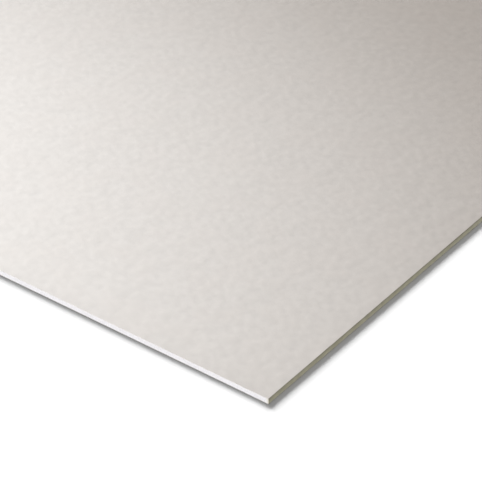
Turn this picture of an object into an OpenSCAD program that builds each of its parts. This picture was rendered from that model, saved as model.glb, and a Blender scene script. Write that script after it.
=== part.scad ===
// Drywall sheet: a gypsum core cast between two papers.
// The sheet lies face up. Its width runs along X, its length along Y and its
// thickness along Z. The origin is under its middle, on the surface it lies on.
// The face paper covers the face, folds round both long edges and ends in a flap
// on the back. The back paper is laid over both flaps. Both short ends are cut
// square, and show the core between the papers.

/* [Sheet] */
// Width over both folded long edges (mm)
sheet_w = 1200; // [600:1:1400]
// Length between the cut ends (mm)
sheet_l = 2400; // [900:1:3600]
// Thickness over both papers (mm)
sheet_t = 9.5; // [6.5:0.1:25]

/* [Face paper] */
// Thickness of the face paper (mm)
face_paper_t = 0.35; // [0.2:0.05:0.6]
// Outer radius of each fold at a long edge (mm)
fold_r = 1.2; // [0.8:0.1:2.5]
// Width of the flap that is folded onto the back, from the long edge in (mm)
flap_w = 25; // [10:1:60]

/* [Back paper] */
// Thickness of the back paper (mm)
back_paper_t = 0.35; // [0.2:0.05:0.6]
// Strip of the flap that the back paper leaves bare along each long edge (mm)
bare_flap_w = 5; // [3:0.5:9]

/* [Hidden] */
// Underside of the folded face paper, which lies on the back paper
fold_z = back_paper_t;
// Back paper's width, short of both long edges
back_paper_w = sheet_w - 2 * bare_flap_w;
// Width of the back between the two flaps, where the core meets the back paper
flap_gap_w = sheet_w - 2 * flap_w;
// Core's width between the two folds, and its heights at the flaps and under the face
core_w = sheet_w - 2 * face_paper_t;
core_low_z = fold_z + face_paper_t;
core_high_z = sheet_t - face_paper_t;
// Core's corner radius inside each fold
core_r = fold_r - face_paper_t;
// Cuts run past the paper that they open by this much
cut_margin = 1;

$fn = 48;

// Stands a section, drawn with its height along Y, up and runs it the sheet's length
module along_sheet() {
    rotate([90, 0, 0])
        linear_extrude(height = sheet_l, center = true)
            children();
}

// A rectangle centred on the width, from one height to another
module band(w, low, high) {
    translate([-w / 2, low])
        square([w, high - low]);
}

// The same rectangle with round corners
module round_band(w, low, high, r) {
    band(w - 2 * r, low, high);
    band(w, low + r, high - r);
    for (x = [-w / 2 + r, w / 2 - r])
        for (y = [low + r, high - r])
            translate([x, y])
                circle(r = r);
}

// The core's outline inside the folds
module core_outline() {
    round_band(core_w, core_low_z, core_high_z, core_r);
}

// Set gypsum, which fills the folded face paper and meets the back paper between the flaps
module gypsum_core() {
    color("#F2F1EE")
        along_sheet() {
            core_outline();
            band(flap_gap_w, fold_z, core_high_z - core_r);
        }
}

// One web of paper: the face, both long edges and both flaps
module face_paper() {
    color("#E0DCD4")
        along_sheet()
            difference() {
                round_band(sheet_w, fold_z, sheet_t, fold_r);
                core_outline();
                band(flap_gap_w, fold_z - cut_margin, core_high_z - core_r);
            }
}

// A flat web of paper under the core and both flaps
module back_paper() {
    color("#A89F90")
        along_sheet()
            band(back_paper_w, 0, back_paper_t);
}

gypsum_core();
face_paper();
back_paper();
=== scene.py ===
# %% [markdown]
# # A sheet of drywall
# A drywall sheet is a sandwich of three pieces. Its core is gypsum plaster, poured as a foamed
# slurry onto a moving web of ivory face paper. The paper is folded up round both long edges and
# onto the back, and a grey-brown back paper is laid over the folds. Once the plaster has set, the
# long ribbon is cut to length, so the two short ends show the white core and the edges of both
# papers.
#
# The exact solids of the three pieces come first, as a frame to measure from. They fix every size
# here. The meshes below stand in the same places, with the finer shape that a cut end and a paper
# fold have, and then each gets a finish of its own.

# %% Load the frame and measure the sheet
import itertools
import math
import random

import bpy
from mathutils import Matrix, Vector, noise


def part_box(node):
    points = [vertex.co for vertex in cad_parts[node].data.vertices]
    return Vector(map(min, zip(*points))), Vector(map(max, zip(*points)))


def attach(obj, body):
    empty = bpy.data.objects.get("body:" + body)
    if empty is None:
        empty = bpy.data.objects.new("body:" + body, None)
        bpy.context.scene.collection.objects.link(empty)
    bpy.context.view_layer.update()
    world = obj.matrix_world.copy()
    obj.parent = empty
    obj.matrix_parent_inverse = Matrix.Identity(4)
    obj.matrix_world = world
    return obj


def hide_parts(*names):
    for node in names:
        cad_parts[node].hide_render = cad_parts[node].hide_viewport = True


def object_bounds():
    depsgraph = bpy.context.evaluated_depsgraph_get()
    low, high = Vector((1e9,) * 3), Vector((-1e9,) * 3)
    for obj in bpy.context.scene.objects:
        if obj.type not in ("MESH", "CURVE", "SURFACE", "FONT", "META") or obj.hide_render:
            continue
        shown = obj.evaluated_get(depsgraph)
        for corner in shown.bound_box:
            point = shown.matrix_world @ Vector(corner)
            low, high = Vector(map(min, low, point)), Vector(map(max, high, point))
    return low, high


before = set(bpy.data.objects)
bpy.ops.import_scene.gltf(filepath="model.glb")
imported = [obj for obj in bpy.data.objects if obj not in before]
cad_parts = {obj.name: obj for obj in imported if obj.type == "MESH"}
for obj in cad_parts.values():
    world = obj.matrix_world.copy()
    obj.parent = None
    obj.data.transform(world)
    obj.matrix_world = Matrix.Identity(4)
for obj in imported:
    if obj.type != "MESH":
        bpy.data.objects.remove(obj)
cad_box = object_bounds()

MM = 0.001
SAME_HEIGHT = 0.01 * MM
sheet_high = cad_box[1]
core_low, core_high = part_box("gypsum_core")
face_low, face_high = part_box("face_paper")
back_low, back_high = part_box("back_paper")

HALF_WIDTH = sheet_high.x
HALF_LENGTH = sheet_high.y
TOP = sheet_high.z
PAPER = face_high.z - core_high.z
FOLD_BOTTOM = face_low.z


def reach_at(node, height):
    """The smallest and largest distance from the middle line, of a node's corners at one height."""
    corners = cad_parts[node].data.vertices
    across = [abs(v.co.x) for v in corners if abs(v.co.z - height) < SAME_HEIGHT]
    return min(across), max(across)


FOLD_RADIUS = HALF_WIDTH - reach_at("face_paper", TOP)[1]
FLAP_END = reach_at("face_paper", FOLD_BOTTOM)[0]
print(f"sheet {2 * HALF_WIDTH / MM:.0f} x {2 * HALF_LENGTH / MM:.0f} x {TOP / MM:.1f} mm")
print(f"paper {PAPER / MM:.2f} mm, fold radius {FOLD_RADIUS / MM:.2f} mm,", end=" ")
print(f"flap {(HALF_WIDTH - FLAP_END) / MM:.1f} mm")

# %% [markdown]
# ## The camera
# The sheet is far larger than what is worth looking at closely, so the camera looks down on one
# corner. There the face, a cut end and a wrapped long edge meet. A long lens from a few metres
# away keeps the edges nearly parallel, as in a catalogue picture of sheet stock.

# %% The camera looks down on the near right corner
NEAR_CORNER = Vector((HALF_WIDTH, -HALF_LENGTH, TOP))
CAMERA_TURN = 37.16
CAMERA_RISE = 35.56
CAMERA_AIM = NEAR_CORNER + Vector((-0.2588, 0.2780, 0))
CAMERA_DISTANCE = 3.43
CAMERA_LENS = 167.9
CAMERA_SENSOR = 36
CAMERA_SEES_TO = 100


def direction(turn, rise):
    """A unit vector: turned from -Y towards +X, then raised above the floor, both in degrees."""
    turn, rise = math.radians(turn), math.radians(rise)
    flat = math.cos(rise)
    return Vector((math.sin(turn) * flat, -math.cos(turn) * flat, math.sin(rise)))


camera_data = bpy.data.cameras.new("camera")
camera_data.lens = CAMERA_LENS
camera_data.sensor_width = CAMERA_SENSOR
camera_data.clip_end = CAMERA_SEES_TO
camera = bpy.data.objects.new("camera", camera_data)
back = direction(CAMERA_TURN, CAMERA_RISE)
camera.location = CAMERA_AIM + back * CAMERA_DISTANCE
camera.rotation_mode = "QUATERNION"
camera.rotation_quaternion = (-back).to_track_quat("-Z", "Y")
bpy.context.scene.collection.objects.link(camera)
bpy.context.scene.camera = camera
print(f"camera at {tuple(round(c, 2) for c in camera.location)} m")

# %% [markdown]
# ## A few helpers for shapes
# All three pieces are long bands with the same cross-section from end to end, so each is a loft:
# rings of points, skinned with quads. The papers have a ring at each of many stations along the
# length. The stations crowd together near the cut ends, where the paper frays, and spread out in
# between. The core's sides are hidden, so it has one plain skin from cut end to cut end.
#
# Each face also gets a place on a square map. When the model is handed on, its finish is baked
# onto one picture through that map. An automatic map would spend nearly all the picture on
# surfaces that lie hidden between the pieces, so these maps are laid out with most room for
# what is seen.

# %% Stations along the length, points across and round corners, and a mesh from its faces
CROWDED = [0, 0.6 * MM, 2 * MM, 5 * MM, 12 * MM, 30 * MM, 70 * MM]


def stations(step):
    """Places along the length, from one cut end to the other, close together near both ends."""
    middle = HALF_LENGTH - CROWDED[-1]
    count = math.ceil(2 * middle / step)
    inner = [-middle + 2 * middle * i / count for i in range(1, count)]
    near = [-HALF_LENGTH + d for d in CROWDED]
    return near + inner + [-y for y in reversed(near)]


def spread(start, stop, step):
    """Evenly spaced values from start to stop, both included."""
    count = max(1, math.ceil(abs(stop - start) / step))
    return [start + (stop - start) * i / count for i in range(count + 1)]


def arc(centre_x, centre_z, radius, first, last, pieces):
    """Points on a circle in the cross-section, from one angle to another in degrees."""
    angles = [math.radians(first + (last - first) * i / pieces) for i in range(pieces + 1)]
    return [(centre_x + radius * math.cos(a), centre_z + radius * math.sin(a)) for a in angles]


def new_piece(name, vertices, faces, places, sharp_angle=30):
    """A mesh object with smooth shading, kept crisp where faces meet at more than sharp_angle.

    places holds the four corners of each face on the piece's map, from (0, 0) to (1, 1).
    """
    mesh = bpy.data.meshes.new(name)
    mesh.from_pydata(vertices, [], faces)
    bake_map = mesh.uv_layers.new(name="OFBake")
    bake_map.uv.foreach_set("vector", [c for corners in places for place in corners for c in place])
    mesh.shade_smooth()
    mesh.set_sharp_from_angle(angle=math.radians(sharp_angle))
    piece = bpy.data.objects.new(name, mesh)
    bpy.context.scene.collection.objects.link(piece)
    triangles = sum(len(p.vertices) - 2 for p in mesh.polygons)
    print(f"{name}: {len(mesh.vertices)} points, {triangles} triangles")
    return piece


# %% [markdown]
# ## What the saw leaves at a cut end
# The ends are sawn, so they are flat to a fraction of a millimetre, but not smooth. Foam bubbles
# that the saw opened show as round pits, a few grains break out beside the papers, and the paper
# frays a little. One function says how far behind the true cut plane each spot of the core lies,
# and another says it for the papers. Both only ever go inwards, so the sheet keeps its length.

# %% Scatter bubbles and chips over both cut ends
PIT_COUNT = 900
PIT_RADIUS = 0.6 * MM, 1.0 * MM
PIT_DEPTH = 0.35
CHIP_COUNT = 46
CHIP_RADIUS = 0.8 * MM, 2.4 * MM
CHIP_DEPTH = 0.15 * MM, 0.3 * MM
BIN = 5 * MM
mark_dice = random.Random(12)


def scattered_pits():
    """Opened foam bubbles along one cut end: (x, z, radius, depth) in metres. A few are larger."""
    pits = []
    for _ in range(PIT_COUNT):
        radius = mark_dice.uniform(*PIT_RADIUS) * (1 + mark_dice.random() ** 4)
        x = mark_dice.uniform(-HALF_WIDTH, HALF_WIDTH)
        z = mark_dice.uniform(core_low.z + radius, core_high.z - radius)
        pits.append((x, z, radius, PIT_DEPTH * radius))
    return pits


def scattered_chips():
    """Crumbled spots where the core meets a paper: (x, z, radius, depth) in metres."""
    chips = []
    for _ in range(CHIP_COUNT):
        x = mark_dice.uniform(-HALF_WIDTH, HALF_WIDTH)
        z = mark_dice.choice([core_low.z, core_high.z])
        radius = mark_dice.uniform(*CHIP_RADIUS)
        chips.append((x, z, radius, mark_dice.uniform(*CHIP_DEPTH)))
    return chips


end_marks = {end: scattered_pits() + scattered_chips() for end in (-1, 1)}
mark_bins = {}
for end, marks in end_marks.items():
    for mark in marks:
        for shift in (-1, 0, 1):
            mark_bins.setdefault((end, round(mark[0] / BIN) + shift), []).append(mark)
print(f"{PIT_COUNT} pits and {CHIP_COUNT} chips on each cut end")

# %% How far the cut surface lies behind the cut plane
SAW_WANDER = 0.05 * MM
WANDER_WAVES = 22
SAW_GRAIN = 0.06 * MM
GRAIN_WAVES_ACROSS = 420
GRAIN_WAVES_UP = 160
FRAY_DEPTH = 0.18 * MM
FRAY_WAVES = 160


def smooth_noise(x, y, z):
    """Soft noise from 0 to 1, the same in every run. The place is in waves, not in metres."""
    return noise.noise(Vector((x, y, z))) * 0.5 + 0.5


def saw_waves(x, z, end):
    """The saw's slight wander and the grain of its cut, in metres behind the cut plane."""
    wander = smooth_noise(x * WANDER_WAVES, end * 7, 0)
    grain = smooth_noise(x * GRAIN_WAVES_ACROSS, z * GRAIN_WAVES_UP, end * 3)
    return wander * SAW_WANDER + grain * SAW_GRAIN


def recess(x, z, end):
    """How far the core's cut surface lies behind the cut plane at one spot."""
    depth = saw_waves(x, z, end)
    for mark_x, mark_z, radius, deepest in mark_bins.get((end, round(x / BIN)), []):
        away = math.hypot(x - mark_x, z - mark_z) / radius
        if away < 1:
            depth = max(depth, deepest * math.sqrt(1 - away * away))
    return depth


def fray(x, z, end):
    """How far a paper's cut edge is worn back behind the cut plane."""
    return FRAY_DEPTH * smooth_noise(x * FRAY_WAVES, z * FRAY_WAVES, end * 11) ** 2


print(f"in the middle: sawn {recess(0, TOP / 2, -1) / MM:.3f} mm", end=" ")
print(f"and frayed {fray(0, TOP, -1) / MM:.3f} mm behind the cut plane")

# %% [markdown]
# ## The gypsum core
# The core fills the space inside the paper folds, and between the two flaps it reaches down to the
# back paper. Its long sides are hidden, so only its outline matters there. Each cut end is a fine
# grid, whose points are pushed in by the function above. Each column of the grid runs from the
# core's underside to its top at that place, which follows the round corners without any trimming.

# %% The core's columns and its height at each of them
CORE_RADIUS = FOLD_RADIUS - PAPER
CORE_HALF = core_high.x
FLAP_INNER = FOLD_BOTTOM + PAPER
CORE_ROWS = 8
CORE_COLUMN = 1.25 * MM
CORNER_PIECES = 6
FLAP_STEP = 0.3 * MM


def corner_drop(x):
    """How far the rounded corner of the core has dropped from its flat, at a place across it."""
    into = max(0, abs(x) - (CORE_HALF - CORE_RADIUS))
    return CORE_RADIUS - math.sqrt(max(0, CORE_RADIUS**2 - into**2))


def core_columns():
    """Places across the core: even in the middle, closer round the corners and at the flap ends."""
    flat = CORE_HALF - CORE_RADIUS
    angles = [math.radians(90 * i / CORNER_PIECES) for i in range(CORNER_PIECES + 1)]
    corner = [flat + CORE_RADIUS * math.sin(angle) for angle in angles]
    right = spread(0, FLAP_END - FLAP_STEP, CORE_COLUMN)
    right += spread(FLAP_END, flat, CORE_COLUMN)[:-1] + corner
    return [-x for x in reversed(right[1:])] + right


def core_span(x):
    """The core's lowest and highest point in one column."""
    lowest = core_low.z if abs(x) < FLAP_END - FLAP_STEP / 2 else FLAP_INNER
    return lowest + corner_drop(x), core_high.z - corner_drop(x)


def core_grid(columns, end):
    """The points of one cut end, column by column from the left."""
    rows = []
    for x in columns:
        low, high = core_span(x)
        for j in range(CORE_ROWS + 1):
            z = low + (high - low) * j / CORE_ROWS
            rows.append((x, end * (HALF_LENGTH - recess(x, z, end)), z))
    return rows


columns = core_columns()
print(f"{len(columns)} columns of {CORE_ROWS + 1} points on each cut end")

# %% The core's map: each cut end in strips, one above the other, and the hidden skin on top
STRIPS = 8
STRIP_WIDTH = 2 * CORE_HALF / STRIPS
STRIP_ROOM = 0.055
STRIP_FILL = 0.94
STRIP_MARGIN = 0.01
SKIN_FROM = 2 * STRIPS * STRIP_ROOM + STRIP_MARGIN


def strip_place(x, z, strip, end):
    """Where a point of a cut end lies on the map. Its strip reads as it is seen from outside."""
    across = STRIP_MARGIN + (1 - 2 * STRIP_MARGIN) * ((x + CORE_HALF) / STRIP_WIDTH - strip)
    up = (z - core_low.z) / (core_high.z - core_low.z)
    row = strip if end < 0 else strip + STRIPS
    return across if end < 0 else 1 - across, (row + STRIP_FILL * up) * STRIP_ROOM


print(f"each cut end lies on the map in {STRIPS} strips of {STRIP_WIDTH / MM:.0f} mm")

# %% Build the core from two cut ends and a skin between them
core_points = core_grid(columns, -1) + core_grid(columns, 1)
far_start = len(core_points) // 2


def grid_index(column, row):
    """Where a point of the near cut end stands in the list of points."""
    return column * (CORE_ROWS + 1) + row


core_faces = []
core_places = []
for i in range(len(columns) - 1):
    strip = int(((columns[i] + columns[i + 1]) / 2 + CORE_HALF) / STRIP_WIDTH)
    for j in range(CORE_ROWS):
        steps = ((0, 0), (1, 0), (1, 1), (0, 1))
        near_quad = [grid_index(i + right, j + up) for right, up in steps]
        far_quad = [far_start + corner for corner in reversed(near_quad)]
        for end, corners in ((-1, near_quad), (1, far_quad)):
            points = [core_points[corner] for corner in corners]
            core_faces.append(corners)
            core_places.append([strip_place(x, z, strip, end) for x, y, z in points])
last = len(columns) - 1
outline = [grid_index(i, 0) for i in range(last)]
outline += [grid_index(last, j) for j in range(CORE_ROWS)]
outline += [grid_index(i, CORE_ROWS) for i in range(last, 0, -1)]
outline += [grid_index(0, j) for j in range(CORE_ROWS, 0, -1)]
for k, (a, b) in enumerate(zip(outline, outline[1:] + outline[:1])):
    core_faces.append((b, a, far_start + a, far_start + b))
    right, left = 1 - k / len(outline), 1 - (k + 1) / len(outline)
    core_places.append([(left, SKIN_FROM), (right, SKIN_FROM), (right, 1), (left, 1)])
core = new_piece("plaster_core", core_points, core_faces, core_places, sharp_angle=50)

# %% [markdown]
# ## A web of paper
# Both papers are thin webs that run the sheet's length, so one function makes both. It takes two
# lines across the section, one through the side that is seen and one through the side that is
# glued down, and lofts the closed ring that they make. At the two cut ends the ring is closed with
# a strip of faces, which is the paper's own torn thickness. On the map the web lies unrolled: the
# seen side takes nearly the whole width, the glued side is squeezed beside it, and the cut strips
# lie along the map's lower and upper edge.

# %% Loft a web from its seen and its glued line
GLUED_ROOM = 0.05
SLIT_ROOM = 3 * MM
CUT_ROOM = 0.0085
CUT_GAP = 0.0015
FRAY_REACH = CROWDED[2]


def worn_back(x, y, z):
    """A point of a paper, moved back if it lies beside a cut end."""
    end = -1 if y < 0 else 1
    fade = max(0, 1 - (HALF_LENGTH - abs(y)) / FRAY_REACH)
    return x, y - end * fade * fray(x, z, end), z


def unrolled(seen, glued):
    """How far across the map each point of the ring lies, and the end of its last face."""
    seen_steps = [math.dist(a, b) for a, b in zip(seen, seen[1:])]
    glued_steps = [GLUED_ROOM * math.dist(a, b) for a, b in zip(glued[::-1], glued[-2::-1])]
    gone = [0, *itertools.accumulate([*seen_steps, SLIT_ROOM, *glued_steps, SLIT_ROOM])]
    return [distance / gone[-1] for distance in gone]


def new_web(name, seen, glued, along, slit_edges=lambda x, y: x):
    """A web of paper through the places along the sheet. slit_edges may shift a point across it."""
    section = seen + glued[::-1]
    size = len(section)
    across_map = unrolled(seen, glued)
    inner = CUT_ROOM + CUT_GAP
    along_map = [inner + (1 - 2 * inner) * (y + HALF_LENGTH) / (2 * HALF_LENGTH) for y in along]
    points = [worn_back(slit_edges(x, y), y, z) for y in along for x, z in section]
    faces = []
    places = []
    for k in range(len(along) - 1):
        low, high = along_map[k], along_map[k + 1]
        for i in range(size):
            a, b = k * size + i, k * size + (i + 1) % size
            left, right = across_map[i], across_map[i + 1]
            faces.append((a, b, b + size, a + size))
            places.append([(left, low), (right, low), (right, high), (left, high)])
    far = len(points) - size
    for i in range(len(seen) - 1):
        left, right = across_map[i], across_map[i + 1]
        faces.append((i, size - 1 - i, size - 2 - i, i + 1))
        places.append([(left, CUT_ROOM), (left, 0), (right, 0), (right, CUT_ROOM)])
        faces.append((far + i, far + i + 1, far + size - 2 - i, far + size - 1 - i))
        places.append([(left, 1 - CUT_ROOM), (right, 1 - CUT_ROOM), (right, 1), (left, 1)])
    return new_piece(name, points, faces, places)


print(f"a paper frays within {FRAY_REACH / MM:.0f} mm of a cut end")

# %% [markdown]
# ## The face paper
# One web of paper goes from the left flap, up round the left long edge, over the whole face, and
# down round the right edge to the other flap. Its section is drawn once as a line through the
# outside of the paper, with a true arc at each fold. The inside is the same line, one paper
# thickness in. A few extra points beside each fold keep the flat areas flat to the eye.

# %% Draw the face paper's section, outside and inside, and loft it
FACE_COLUMN = 2.5 * MM
FACE_STEP = 120 * MM
FOLD_PIECES = 8
SIDE_PIECES = 4
BESIDE_FOLD = 0.4 * MM


def wrap_line(inset):
    """The right half of the wrap, from the face's middle to the flap's end, moved in by inset."""
    radius = FOLD_RADIUS - inset
    centre_x = HALF_WIDTH - FOLD_RADIUS
    beside = centre_x - BESIDE_FOLD
    high, low = TOP - FOLD_RADIUS, FOLD_BOTTOM + FOLD_RADIUS
    flat = [(x, TOP - inset) for x in spread(0, beside, FACE_COLUMN)]
    upper = arc(centre_x, high, radius, 90, 0, FOLD_PIECES)
    side = [(HALF_WIDTH - inset, z) for z in spread(high, low, (high - low) / SIDE_PIECES)[1:-1]]
    lower = arc(centre_x, low, radius, 0, -90, FOLD_PIECES)
    flap = [(x, FOLD_BOTTOM + inset) for x in spread(beside, FLAP_END, FACE_COLUMN)]
    return flat + upper + side + lower + flap


def whole_line(inset):
    """The wrap from the left flap's end to the right flap's end."""
    right = wrap_line(inset)
    return [(-x, z) for x, z in reversed(right[1:])] + right


outside, inside = whole_line(0), whole_line(PAPER)
print(f"{len(outside)} points across the face paper")
face = new_web("ivory_face_paper", outside, inside, stations(FACE_STEP))

# %% [markdown]
# ## The back paper
# The back paper is a flat web, a few millimetres narrower than the sheet on each side. It was slit
# from a wide roll, so its long edges wander very slightly, and its ends were sawn with the sheet.
# Its seen side faces down, so its lines are drawn from right to left.

# %% Loft the back paper, with two slit edges
BACK_COLUMN = 10 * MM
BACK_STEP = 25 * MM
SLIT_WANDER = 0.25 * MM
SLIT_WAVES = 9
WANDER_POWER = 8
BACK_HALF = back_high.x


def wandering_slits(x, y):
    """A point of the back paper, drawn in from its slit edge, and hardly moved further from it."""
    side = -1 if x < 0 else 1
    wander = SLIT_WANDER * smooth_noise(y * SLIT_WAVES, side * 5, 2)
    return x * (1 - wander / BACK_HALF * abs(x / BACK_HALF) ** WANDER_POWER)


back_across = spread(BACK_HALF, -BACK_HALF, BACK_COLUMN)
underside = [(x, back_low.z) for x in back_across]
glued_side = [(x, back_high.z) for x in back_across]
back_web = new_web("grey_back_paper", underside, glued_side, stations(BACK_STEP), wandering_slits)

# %% Seat the three pieces on the sheet's body
for piece, node, finish in (
    (core, "gypsum_core", "gypsum"),
    (face, "face_paper", "face_paper"),
    (back_web, "back_paper", "back_paper"),
):
    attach(piece, "root")
    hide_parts(node)
    print(f"{piece.name} stands for {node}")

# %% [markdown]
# ## Tools for finishes
# A finish is a web of shader nodes. These helpers keep the code short. The first adds a node and
# sets its inputs, and those after it each do one common thing with it: a sum, a noise, a stretch
# of a range, a mix of two colours. What several finishes share is a node group, which is built
# once and then placed in each of them, and the last two helpers do that.

# %% Helpers that add and link shader nodes


def add(tree, kind, inputs=None, **settings):
    """Adds a shader node, sets its properties and the values of its inputs, and returns it."""
    node = tree.nodes.new("ShaderNode" + kind)
    for name, value in settings.items():
        setattr(node, name, value)
    for name, value in (inputs or {}).items():
        if isinstance(value, bpy.types.NodeSocket):
            tree.links.new(value, node.inputs[name])
        else:
            node.inputs[name].default_value = value
    return node


def maths(tree, operation, a, b=0.0):
    """The result of one sum on two sockets or numbers."""
    return add(tree, "Math", {0: a, 1: b}, operation=operation).outputs[0]


def weighed(tree, first, first_weight, second, second_weight):
    """Two values added up, each times a weight of its own."""
    first = maths(tree, "MULTIPLY", first, first_weight)
    return maths(tree, "ADD", first, maths(tree, "MULTIPLY", second, second_weight))


def remap(tree, value, low, high, to_low=0.0, to_high=1.0):
    """Stretches the range low to high onto to_low to to_high, with a smooth start and stop."""
    inputs = {"Value": value, 1: low, 2: high, 3: to_low, 4: to_high}
    return add(tree, "MapRange", inputs, interpolation_type="SMOOTHSTEP").outputs[0]


def soft_noise(tree, place, per_metre, detail, **inputs):
    """Noise from 0 to 1, with about that many waves in a metre."""
    inputs.update({"Vector": place, "Scale": per_metre, "Detail": detail})
    return add(tree, "TexNoise", inputs).outputs[0]


def drawn_along(tree, place, amount):
    """Places for a pattern that comes out longer along the sheet, by that amount."""
    along = maths(tree, "DIVIDE", 1.0, amount)
    squeeze = add(tree, "CombineXYZ", {"X": 1.0, "Y": along, "Z": 1.0}).outputs[0]
    return add(tree, "VectorMath", {0: place, 1: squeeze}, operation="MULTIPLY").outputs[0]


def blend_colours(tree, share, first, second, strength=1.0):
    """Mixes two colours. The second one shows by its share, times strength."""
    if strength != 1.0:
        share = maths(tree, "MULTIPLY", share, strength)
    inputs = {"Factor": share, "A": first, "B": second}
    node = tree.nodes.new("ShaderNodeMix")
    node.data_type = "RGBA"
    for name, value in inputs.items():
        socket = next(s for s in node.inputs if s.name == name and s.enabled)
        if isinstance(value, bpy.types.NodeSocket):
            tree.links.new(value, socket)
        else:
            socket.default_value = value
    return next(s for s in node.outputs if s.enabled)


# %% Helpers that start a node group and place it in a finish


def new_group(name, inputs, outputs):
    """A node group. An input is a vector if its default is None, and all else are numbers."""
    tree = bpy.data.node_groups.new(name, "ShaderNodeTree")
    for label, default in inputs.items():
        kind = "NodeSocketVector" if default is None else "NodeSocketFloat"
        socket = tree.interface.new_socket(label, in_out="INPUT", socket_type=kind)
        if default is not None:
            socket.default_value = default
    for label in outputs:
        tree.interface.new_socket(label, in_out="OUTPUT", socket_type="NodeSocketFloat")
    return tree, tree.nodes.new("NodeGroupInput").outputs, tree.nodes.new("NodeGroupOutput").inputs


def use(tree, group, **values):
    """Places a node group in a finish. Spaces in input names are written as underscores."""
    node = tree.nodes.new("ShaderNodeGroup")
    node.node_tree = group
    for name, value in values.items():
        socket = node.inputs[name.replace("_", " ")]
        if isinstance(value, bpy.types.NodeSocket):
            tree.links.new(value, socket)
        else:
            socket.default_value = value
    return node.outputs


# %% [markdown]
# ## Paper formation
# Held up to the light, paper looks cloudy: the pulp settles in soft clumps, on a board's paper
# five to ten millimetres across. Between them lie the fibres themselves, far finer. Both papers
# use this group. Drawn out makes the clumps longer along the sheet, or shorter if it is less than
# one, and Turn lays them askew. The face paper's are shorter and a little askew, because light
# that rakes across the sheet makes any relief look longer the other way.

# %% The formation group: clumps and fibres
formation, given, results = new_group(
    "paper formation",
    {
        "Place": None,
        "Clumps per metre": 120.0,
        "Fibres per metre": 900.0,
        "Drawn out": 1.2,
        "Turn": 0.0,
    },
    ["Clumps", "Fibres"],
)
turned_place = add(
    formation,
    "VectorRotate",
    {"Vector": given["Place"], "Angle": given["Turn"]},
    rotation_type="Z_AXIS",
).outputs[0]
drawn = drawn_along(formation, turned_place, given["Drawn out"])
clumps = soft_noise(formation, drawn, given["Clumps per metre"], 0.6, Roughness=0.4)
fibres = soft_noise(
    formation, drawn, given["Fibres per metre"], 3.0, Roughness=0.6, Distortion=1.5
)
formation.links.new(clumps, results["Clumps"])
formation.links.new(fibres, results["Fibres"])
print("group:", formation.name)

# %% [markdown]
# ## Machine streaks and soft tints
# The paper machine and the board line both run along the sheet's length, and both leave faint
# streaks that way. Slower still, the tint wanders a little between warm and cool from hand to hand
# across the face. One group gives both, and the plaster uses its tint too.

# %% The streak and tint group
run_marks, given, results = new_group(
    "machine run",
    {"Place": None, "Streaks per metre": 60.0, "Length to width": 14.0, "Tints per metre": 14.0},
    ["Streaks", "Tint"],
)
long_place = drawn_along(run_marks, given["Place"], given["Length to width"])
streaks = soft_noise(run_marks, long_place, given["Streaks per metre"], 3.0)
tint = soft_noise(run_marks, given["Place"], given["Tints per metre"], 1.0)
run_marks.links.new(streaks, results["Streaks"])
run_marks.links.new(tint, results["Tint"])
print("group:", run_marks.name)

# %% [markdown]
# ## Flecks
# Both papers are made from recycled stock, so dark shives and specks of old ink stay in them: very
# few in the bright face paper, and many in the back paper. A cell pattern gives each cell a speck
# of its own, and a chance number per cell says whether it shows.

# %% The fleck group
flecks, given, results = new_group(
    "flecks",
    {"Place": None, "Flecks per metre": 250.0, "Share shown": 0.1, "Size": 0.25},
    ["Flecks"],
)
cells = add(
    flecks,
    "TexVoronoi",
    {"Vector": given["Place"], "Scale": given["Flecks per metre"], "Randomness": 1.0},
)
chance = add(flecks, "SeparateColor", {"Color": cells.outputs["Color"]}).outputs[0]
shown = maths(flecks, "LESS_THAN", chance, given["Share shown"])
away = maths(flecks, "DIVIDE", cells.outputs["Distance"], given["Size"])
speck = remap(flecks, maths(flecks, "SUBTRACT", 1.0, away), 0.0, 0.6)
flecks.links.new(maths(flecks, "MULTIPLY", speck, shown), results["Flecks"])
print("group:", flecks.name)

# %% [markdown]
# ## Handling
# A new sheet is clean, but fork-lift, gloves and the stack below still leave a trace: the last few
# centimetres beside the edges are very slightly greyed, in patches. The group measures how near a
# spot is to the sheet's outline, and breaks that band up with noise.

# %% The handling group
PATCHES_PER_METRE = 18.0
PATCHINESS = 1.6

handling, given, results = new_group(
    "handling",
    {"Place": None, "Half width": HALF_WIDTH, "Half length": HALF_LENGTH, "Reach": 0.03},
    ["Handled"],
)
spot = add(handling, "SeparateXYZ", {"Vector": given["Place"]}).outputs
side_gap = maths(handling, "SUBTRACT", given["Half width"], maths(handling, "ABSOLUTE", spot[0]))
end_gap = maths(handling, "SUBTRACT", given["Half length"], maths(handling, "ABSOLUTE", spot[1]))
edge_gap = maths(handling, "MINIMUM", side_gap, end_gap)
band = maths(handling, "DIVIDE", edge_gap, given["Reach"])
patches = soft_noise(handling, given["Place"], PATCHES_PER_METRE, 4.0)
broken = weighed(handling, band, 1.0, patches, PATCHINESS)
handled = remap(handling, broken, 0.7, 1.5, 1.0, 0.0)
handling.links.new(handled, results["Handled"])
print("group:", handling.name)

# %% [markdown]
# ## The ivory face paper's finish
# The face is bright, matt and ready for paint. Clumps and fibres shift its brightness by a percent
# or two and roughen it. Where it wraps a long edge, the paper is painted a darker khaki. This is
# partly a warmer tint of the paper and partly painted shade of the upright edge. The turn follows
# the fold, which the sheet's half width locates.

# %% Helpers that start a finish and give it relief


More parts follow.
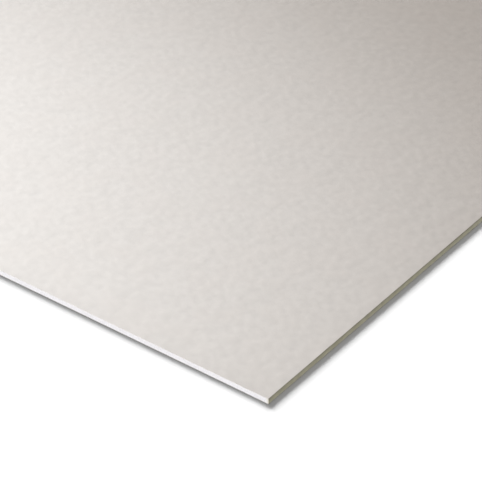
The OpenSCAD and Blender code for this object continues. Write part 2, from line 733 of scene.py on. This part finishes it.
def new_finish(name):
    """An empty material, with its node tree, its Principled shader and the object's own places."""
    material = bpy.data.materials.new(name)
    material.use_nodes = True
    tree = material.node_tree
    tree.nodes.clear()
    shader = tree.nodes.new("ShaderNodeBsdfPrincipled")
    output = tree.nodes.new("ShaderNodeOutputMaterial")
    tree.links.new(shader.outputs[0], output.inputs["Surface"])
    place = tree.nodes.new("ShaderNodeTexCoord").outputs["Object"]
    return material, tree, shader, place


def set_bump(tree, shader, height, depth):
    """Feeds a height to a bump on the shader. depth is how many metres a height of 1 stands for."""
    bump = add(tree, "Bump", {"Height": height, "Distance": depth, "Strength": 1.0})
    tree.links.new(bump.outputs[0], shader.inputs["Normal"])


# %% The face paper's colours and relief
IVORY = (0.787, 0.775, 0.746, 1)
IVORY_DARK = (0.700, 0.689, 0.662, 1)
WARM = (0.772, 0.752, 0.720, 1)
# Partly painted shade: the long edges' khaki is darker than the ivory for the shade on those
# upright sides.
SHADED_KHAKI = (0.560, 0.537, 0.395, 1)
SHADED_KHAKI_DARK = (0.500, 0.480, 0.345, 1)
FLECK_BROWN = (0.42, 0.36, 0.28, 1)
GLOVE_GREY = (0.3, 0.29, 0.27, 1)
IVORY_ROUGHNESS = (0.82, 0.95)
CLUMP_RELIEF = 0.81 * MM
FIBRE_RELIEF = 0.020 * MM
SPREAD_OF_CLOUDS = 0.36, 0.64
SHADED_KHAKI_FROM = HALF_WIDTH - 1.0 * FOLD_RADIUS
SHADED_KHAKI_BY = HALF_WIDTH - 0.45 * FOLD_RADIUS

# %% Mix the face paper
ivory_paper, tree, shader, place = new_finish("ivory face paper")
pulp = use(
    tree,
    formation,
    Place=place,
    Clumps_per_metre=65.0,
    Fibres_per_metre=700.0,
    Drawn_out=0.74,
    Turn=math.radians(14),
)
runs = use(tree, run_marks, Place=place)
specks = use(tree, flecks, Place=place, Flecks_per_metre=130.0, Share_shown=0.03, Size=0.16)
worn = use(tree, handling, Place=place)

across = add(tree, "SeparateXYZ", {"Vector": place}).outputs[0]
from_middle = maths(tree, "ABSOLUTE", across)
# The long edges' darker khaki, partly a warmer tint and partly painted shade.
khaki_and_shade_share = remap(tree, from_middle, SHADED_KHAKI_FROM, SHADED_KHAKI_BY)
cloudy = weighed(tree, pulp["Clumps"], 0.62, pulp["Fibres"], 0.38)
cloud_share = remap(tree, cloudy, *SPREAD_OF_CLOUDS)
streak_share = remap(tree, runs["Streaks"], 0.35, 0.65)
dark_share = weighed(tree, cloud_share, 0.34, streak_share, 0.12)
tint_share = remap(tree, runs["Tint"], 0.42, 0.62)
flat_colour = blend_colours(tree, dark_share, IVORY, IVORY_DARK)
flat_colour = blend_colours(tree, tint_share, flat_colour, WARM, strength=0.35)
khaki_and_shade_colour = blend_colours(tree, cloud_share, SHADED_KHAKI, SHADED_KHAKI_DARK)
paper_colour = blend_colours(tree, khaki_and_shade_share, flat_colour, khaki_and_shade_colour)
paper_colour = blend_colours(tree, specks["Flecks"], paper_colour, FLECK_BROWN, strength=0.15)
paper_colour = blend_colours(tree, worn["Handled"], paper_colour, GLOVE_GREY, strength=0.05)
tree.links.new(paper_colour, shader.inputs["Base Color"])
roughness = remap(tree, pulp["Fibres"], 0.3, 0.7, *IVORY_ROUGHNESS)
tree.links.new(roughness, shader.inputs["Roughness"])
shader.inputs["Specular IOR Level"].default_value = 0.3
relief = weighed(tree, pulp["Clumps"], CLUMP_RELIEF, pulp["Fibres"], FIBRE_RELIEF)
set_bump(tree, shader, relief, 1.0)
face.data.materials.append(ivory_paper)
print("finish:", ivory_paper.name)

# %% [markdown]
# ## The grey-brown back paper's finish
# The back is never seen once the sheet is up, so its paper is plain recycled stock. It is darker,
# rougher and full of flecks, with the same clouds and streaks as the face but stronger.

# %% Mix the back paper
GREY_BROWN = (0.335, 0.300, 0.245, 1)
GREY_DARK = (0.235, 0.208, 0.168, 1)
PALE_FIBRE = (0.52, 0.49, 0.43, 1)
DARK_SHIVE = (0.10, 0.085, 0.065, 1)
RUBBED_GREY = (0.45, 0.44, 0.42, 1)
BACK_ROUGHNESS = (0.86, 1.0)
BACK_RELIEF = 0.16 * MM

recycled_paper, tree, shader, place = new_finish("grey back paper")
pulp = use(
    tree, formation, Place=place, Clumps_per_metre=90.0, Fibres_per_metre=520.0, Drawn_out=2.2
)
runs = use(tree, run_marks, Place=place, Streaks_per_metre=45.0)
specks = use(tree, flecks, Place=place, Flecks_per_metre=220.0, Share_shown=0.22, Size=0.3)
worn = use(tree, handling, Place=place, Half_width=BACK_HALF)
cloudy = weighed(tree, pulp["Clumps"], 0.5, pulp["Fibres"], 0.5)
cloud_share = remap(tree, cloudy, 0.34, 0.66)
fibre_share = remap(tree, pulp["Fibres"], 0.56, 0.72)
streak_share = remap(tree, runs["Streaks"], 0.4, 0.6)
back_colour = blend_colours(tree, cloud_share, GREY_BROWN, GREY_DARK)
back_colour = blend_colours(tree, fibre_share, back_colour, PALE_FIBRE, strength=0.5)
back_colour = blend_colours(tree, streak_share, back_colour, GREY_DARK, strength=0.22)
back_colour = blend_colours(tree, specks["Flecks"], back_colour, DARK_SHIVE, strength=0.7)
back_colour = blend_colours(tree, worn["Handled"], back_colour, RUBBED_GREY, strength=0.25)
tree.links.new(back_colour, shader.inputs["Base Color"])
roughness = remap(tree, pulp["Fibres"], 0.3, 0.7, *BACK_ROUGHNESS)
tree.links.new(roughness, shader.inputs["Roughness"])
shader.inputs["Specular IOR Level"].default_value = 0.25
set_bump(tree, shader, cloudy, BACK_RELIEF)
back_web.data.materials.append(recycled_paper)
print("finish:", recycled_paper.name)

# %% [markdown]
# ## The gypsum's finish
# Set gypsum is chalk white and dead matt. The foam in it is finer than the pits in the mesh, so
# the smallest bubbles are painted and bumped: two sizes of cell pattern, dark inside. The saw
# leaves faint upright scratches. Beside the papers and in the hard strip along each long edge the
# plaster is denser and creamier, because starch moves outwards as the board dries. The lowest
# millimetre of a cut end is painted grey. This is painted shade, where the end meets the floor.

# %% Mix the gypsum
CHALK = (0.900, 0.895, 0.905, 1)
CHALK_SHADE = (0.820, 0.812, 0.815, 1)
CREAM = (0.800, 0.770, 0.690, 1)
PORE_SHADE = (0.52, 0.50, 0.48, 1)
# Painted shade: grey for the lowest millimetre of a cut end, where it meets the floor.
CONTACT_SHADE = (0.42, 0.41, 0.41, 1)
CHALK_ROUGHNESS = (0.9, 1.0)
CHALK_RELIEF = 0.12 * MM
HARD_EDGE = 5 * MM, 1.5 * MM
SOAKED = 0.7 * MM
CONTACT_SHADE_BAND = 0.2 * MM, 1.1 * MM

chalk, tree, shader, place = new_finish("white gypsum")


def bubbles(scale, size):
    """Round pores of one size: 1 in the middle of a bubble and 0 in the plaster between."""
    cells = add(tree, "TexVoronoi", {"Vector": place, "Scale": scale, "Randomness": 1.0})
    return remap(tree, cells.outputs["Distance"], size * 0.4, size, 1.0, 0.0)


fine_pores = bubbles(1600.0, 0.34)
coarse_pores = bubbles(520.0, 0.26)
pores = maths(tree, "MAXIMUM", maths(tree, "MULTIPLY", fine_pores, 0.55), coarse_pores)
saw_place = add(tree, "Mapping", {"Vector": place, "Scale": (1.0, 1.0, 0.12)}).outputs[0]
scratches = soft_noise(tree, saw_place, 1300.0, 2.0)
runs = use(tree, run_marks, Place=place, Tints_per_metre=40.0)
worn = use(tree, handling, Place=place, Reach=0.02)
axes = add(tree, "SeparateXYZ", {"Vector": place}).outputs
from_middle = maths(tree, "ABSOLUTE", axes[0])
hard_edge = remap(tree, from_middle, *[HALF_WIDTH - inside for inside in HARD_EDGE])
half_core = (core_high.z - core_low.z) / 2
from_centre = maths(tree, "ABSOLUTE", maths(tree, "SUBTRACT", axes[2], core_low.z + half_core))
soaked = remap(tree, from_centre, half_core - SOAKED, half_core, 0.0, 0.5)
creamy = maths(tree, "MAXIMUM", hard_edge, soaked)
scratch_share = remap(tree, scratches, 0.4, 0.65)
tint_share = remap(tree, runs["Tint"], 0.4, 0.65)
# Painted shade at the foot of each cut end, darkest at its lowest edge, where it meets the floor.
contact_shade_share = remap(tree, axes[2], *[core_low.z + height for height in CONTACT_SHADE_BAND], 1.0, 0.0)
core_colour = blend_colours(tree, scratch_share, CHALK, CHALK_SHADE)
core_colour = blend_colours(tree, tint_share, core_colour, CHALK_SHADE, strength=0.4)
core_colour = blend_colours(tree, creamy, core_colour, CREAM)
core_colour = blend_colours(tree, pores, core_colour, PORE_SHADE, strength=0.45)
core_colour = blend_colours(tree, contact_shade_share, core_colour, CONTACT_SHADE, strength=0.9)
core_colour = blend_colours(tree, worn["Handled"], core_colour, PORE_SHADE, strength=0.02)
tree.links.new(core_colour, shader.inputs["Base Color"])
roughness = remap(tree, scratches, 0.3, 0.7, *CHALK_ROUGHNESS)
tree.links.new(roughness, shader.inputs["Roughness"])
shader.inputs["Specular IOR Level"].default_value = 0.2
set_bump(tree, shader, weighed(tree, scratches, 0.3, pores, -0.7), CHALK_RELIEF)
core.data.materials.append(chalk)
print("finish:", chalk.name)

# %% [markdown]
# ## The studio
# A matt floor, lamps for the sheet and lamps for the floor. Lamps can be told which objects they
# light. That lets the floor wash out to white with a soft shadow along both near edges, while the
# sheet keeps its own gentle fall-off of light from left to right. Beyond that corner, six more
# spots and a low sun light the far half and the far cut end, and a sun from below lights the back.
# The floor shows from above only, so it never hides the back, and it throws no light on the sheet.

# %% A floor that reaches the horizon
FLOOR_REACH = 150
FLOOR_HEIGHT = -0.05 * MM
FLOOR_GREY = (0.3, 0.3, 0.3, 1)
floor_mesh = bpy.data.meshes.new("floor")
floor_corners = ((-1, -1), (1, -1), (1, 1), (-1, 1))
corners = [(sx * FLOOR_REACH, sy * FLOOR_REACH, FLOOR_HEIGHT) for sx, sy in floor_corners]
floor_mesh.from_pydata(corners, [], [(0, 1, 2, 3)])
floor = bpy.data.objects.new("floor", floor_mesh)
bpy.context.scene.collection.objects.link(floor)
floor_finish, tree, shader, _ = new_finish("matt grey floor")
shader.inputs["Base Color"].default_value = FLOOR_GREY
shader.inputs["Roughness"].default_value = 1.0
shader.inputs["Specular IOR Level"].default_value = 0.0
from_below = tree.nodes.new("ShaderNodeNewGeometry").outputs["Backfacing"]
clear = tree.nodes.new("ShaderNodeBsdfTransparent").outputs[0]
one_sided = add(tree, "MixShader", {0: from_below, 1: shader.outputs[0], 2: clear})
tree.links.new(one_sided.outputs[0], tree.nodes["Material Output"].inputs["Surface"])
floor_mesh.materials.append(floor_finish)
floor.visible_diffuse = False

sheet_set = bpy.data.collections.new("lit as the sheet")
floor_set = bpy.data.collections.new("lit as the floor")
for piece in (core, face, back_web):
    sheet_set.objects.link(piece)
floor_set.objects.link(floor)
print("floor and the two lit sets ready")

# %% Lamps
COOL = (0.975, 1.0, 1.04)
WHITE = (1.0, 1.0, 1.0)
ROSY = (1.0, 0.985, 1.0)
CREAMY = (1.0, 0.98, 0.94)
WARM_WHITE = (1.0, 0.892, 0.822)
LAMP_RADIUS = 0.25


def lamp(name, kind, power, colour, lit_set, place, aim, shaded_by=None, **settings):
    """A lamp that the camera can't see and that lights one set of objects.

    Everything casts shadows in its light, unless shaded_by names the set that does.
    """
    data = bpy.data.lights.new(name, kind)
    data.energy = power
    data.color = colour
    for setting, value in settings.items():
        setattr(data, setting, value)
    light = bpy.data.objects.new(name, data)
    light.location = place
    light.rotation_mode = "QUATERNION"
    light.rotation_quaternion = (aim - place).to_track_quat("-Z", "Y")
    light.visible_camera = False
    light.light_linking.receiver_collection = lit_set
    light.light_linking.blocker_collection = shaded_by
    bpy.context.scene.collection.objects.link(light)
    print(f"lamp: {name}")


def spot(name, power, place, aim, cone):
    """A cool spot on the sheet that fades softly towards the rim of its cone, given in radians."""
    soft = {"spot_size": cone, "spot_blend": 1.0, "shadow_soft_size": LAMP_RADIUS}
    lamp(name, "SPOT", power, COOL, sheet_set, place, aim, **soft)


def sun(name, power, colour, lit_set, comes_from, softness, shaded_by=None):
    """Light from one side, as from a soft sun that looks that many degrees wide."""
    place = NEAR_CORNER + comes_from
    softness = math.radians(softness)
    lamp(name, "SUN", power, colour, lit_set, place, NEAR_CORNER, shaded_by, angle=softness)


# %% The key, and low suns for the cut ends and the right long edge
KEY_PLACE = NEAR_CORNER + Vector((-2.37, -0.45, 3.68))
KEY_AIM = NEAR_CORNER + Vector((-1.2, -0.45, 0))
KEY_CONE = math.radians(52.8)

spot("key", 582.0, KEY_PLACE, KEY_AIM, KEY_CONE)
sun("end light", 3.0, ROSY, sheet_set, direction(-20, -8), 15, sheet_set)
sun("side light", 0.67, CREAMY, sheet_set, direction(90, -30), 15, sheet_set)
sun("far end light", 1.7, ROSY, sheet_set, direction(160, -12), 15, sheet_set)

# %% Spots from straight above for the far half: how far across, how far along, reach, power
FAR_KEY_HEIGHT = 3.6
far_keys = (
    (-0.5, 2.4, 1.3, 175.0),
    (-1.5, 1.9, 1.25, 130.0),
    (0.4, 1.72, 0.93, 112.0),
    (-1.3, 1.32, 0.72, 66.0),
    (-0.72, 1.64, 0.62, 60.0),
    (0.24, 1.44, 0.56, 66.0),
)
for number, (across, along, reach, power) in enumerate(far_keys, 1):
    aim = NEAR_CORNER + Vector((across, along, 0))
    place = aim + Vector((0, 0, FAR_KEY_HEIGHT))
    spot(f"far key {number}", power, place, aim, 2 * math.atan(reach / FAR_KEY_HEIGHT))

# %% Fills: from below for the back, from the left for the face, and two for the floor
sun("under light", 2.4, WHITE, sheet_set, Vector((0, 0, -1)), 30, sheet_set)
sun("warm fill", 2.10, WARM_WHITE, sheet_set, direction(-100, 35), 30)
sun("floor wash", 25.0, WHITE, floor_set, direction(-123, 24.6), 44)
sun("floor fill", 2.35, WHITE, floor_set, Vector((0, 0, 1)), 40)

# %% The surroundings: white to the eye, dim as a light
SURROUND_LIGHT = 0.06
world = bpy.data.worlds.new("studio walls")
world.use_nodes = True
tree = world.node_tree
tree.nodes.clear()
seen = tree.nodes.new("ShaderNodeLightPath").outputs["Is Camera Ray"]
strength = remap(tree, seen, 0.0, 1.0, SURROUND_LIGHT, 1.0)
walls = add(tree, "Background", {"Color": (1, 1, 1, 1), "Strength": strength})
tree.links.new(walls.outputs[0], tree.nodes.new("ShaderNodeOutputWorld").inputs["Surface"])
bpy.context.scene.world = world
bpy.context.scene.view_settings.view_transform = "Standard"
print("surroundings ready")

# %% Print the frame's box
print("frame's box:", [tuple(round(c, 5) for c in corner) for corner in cad_box])
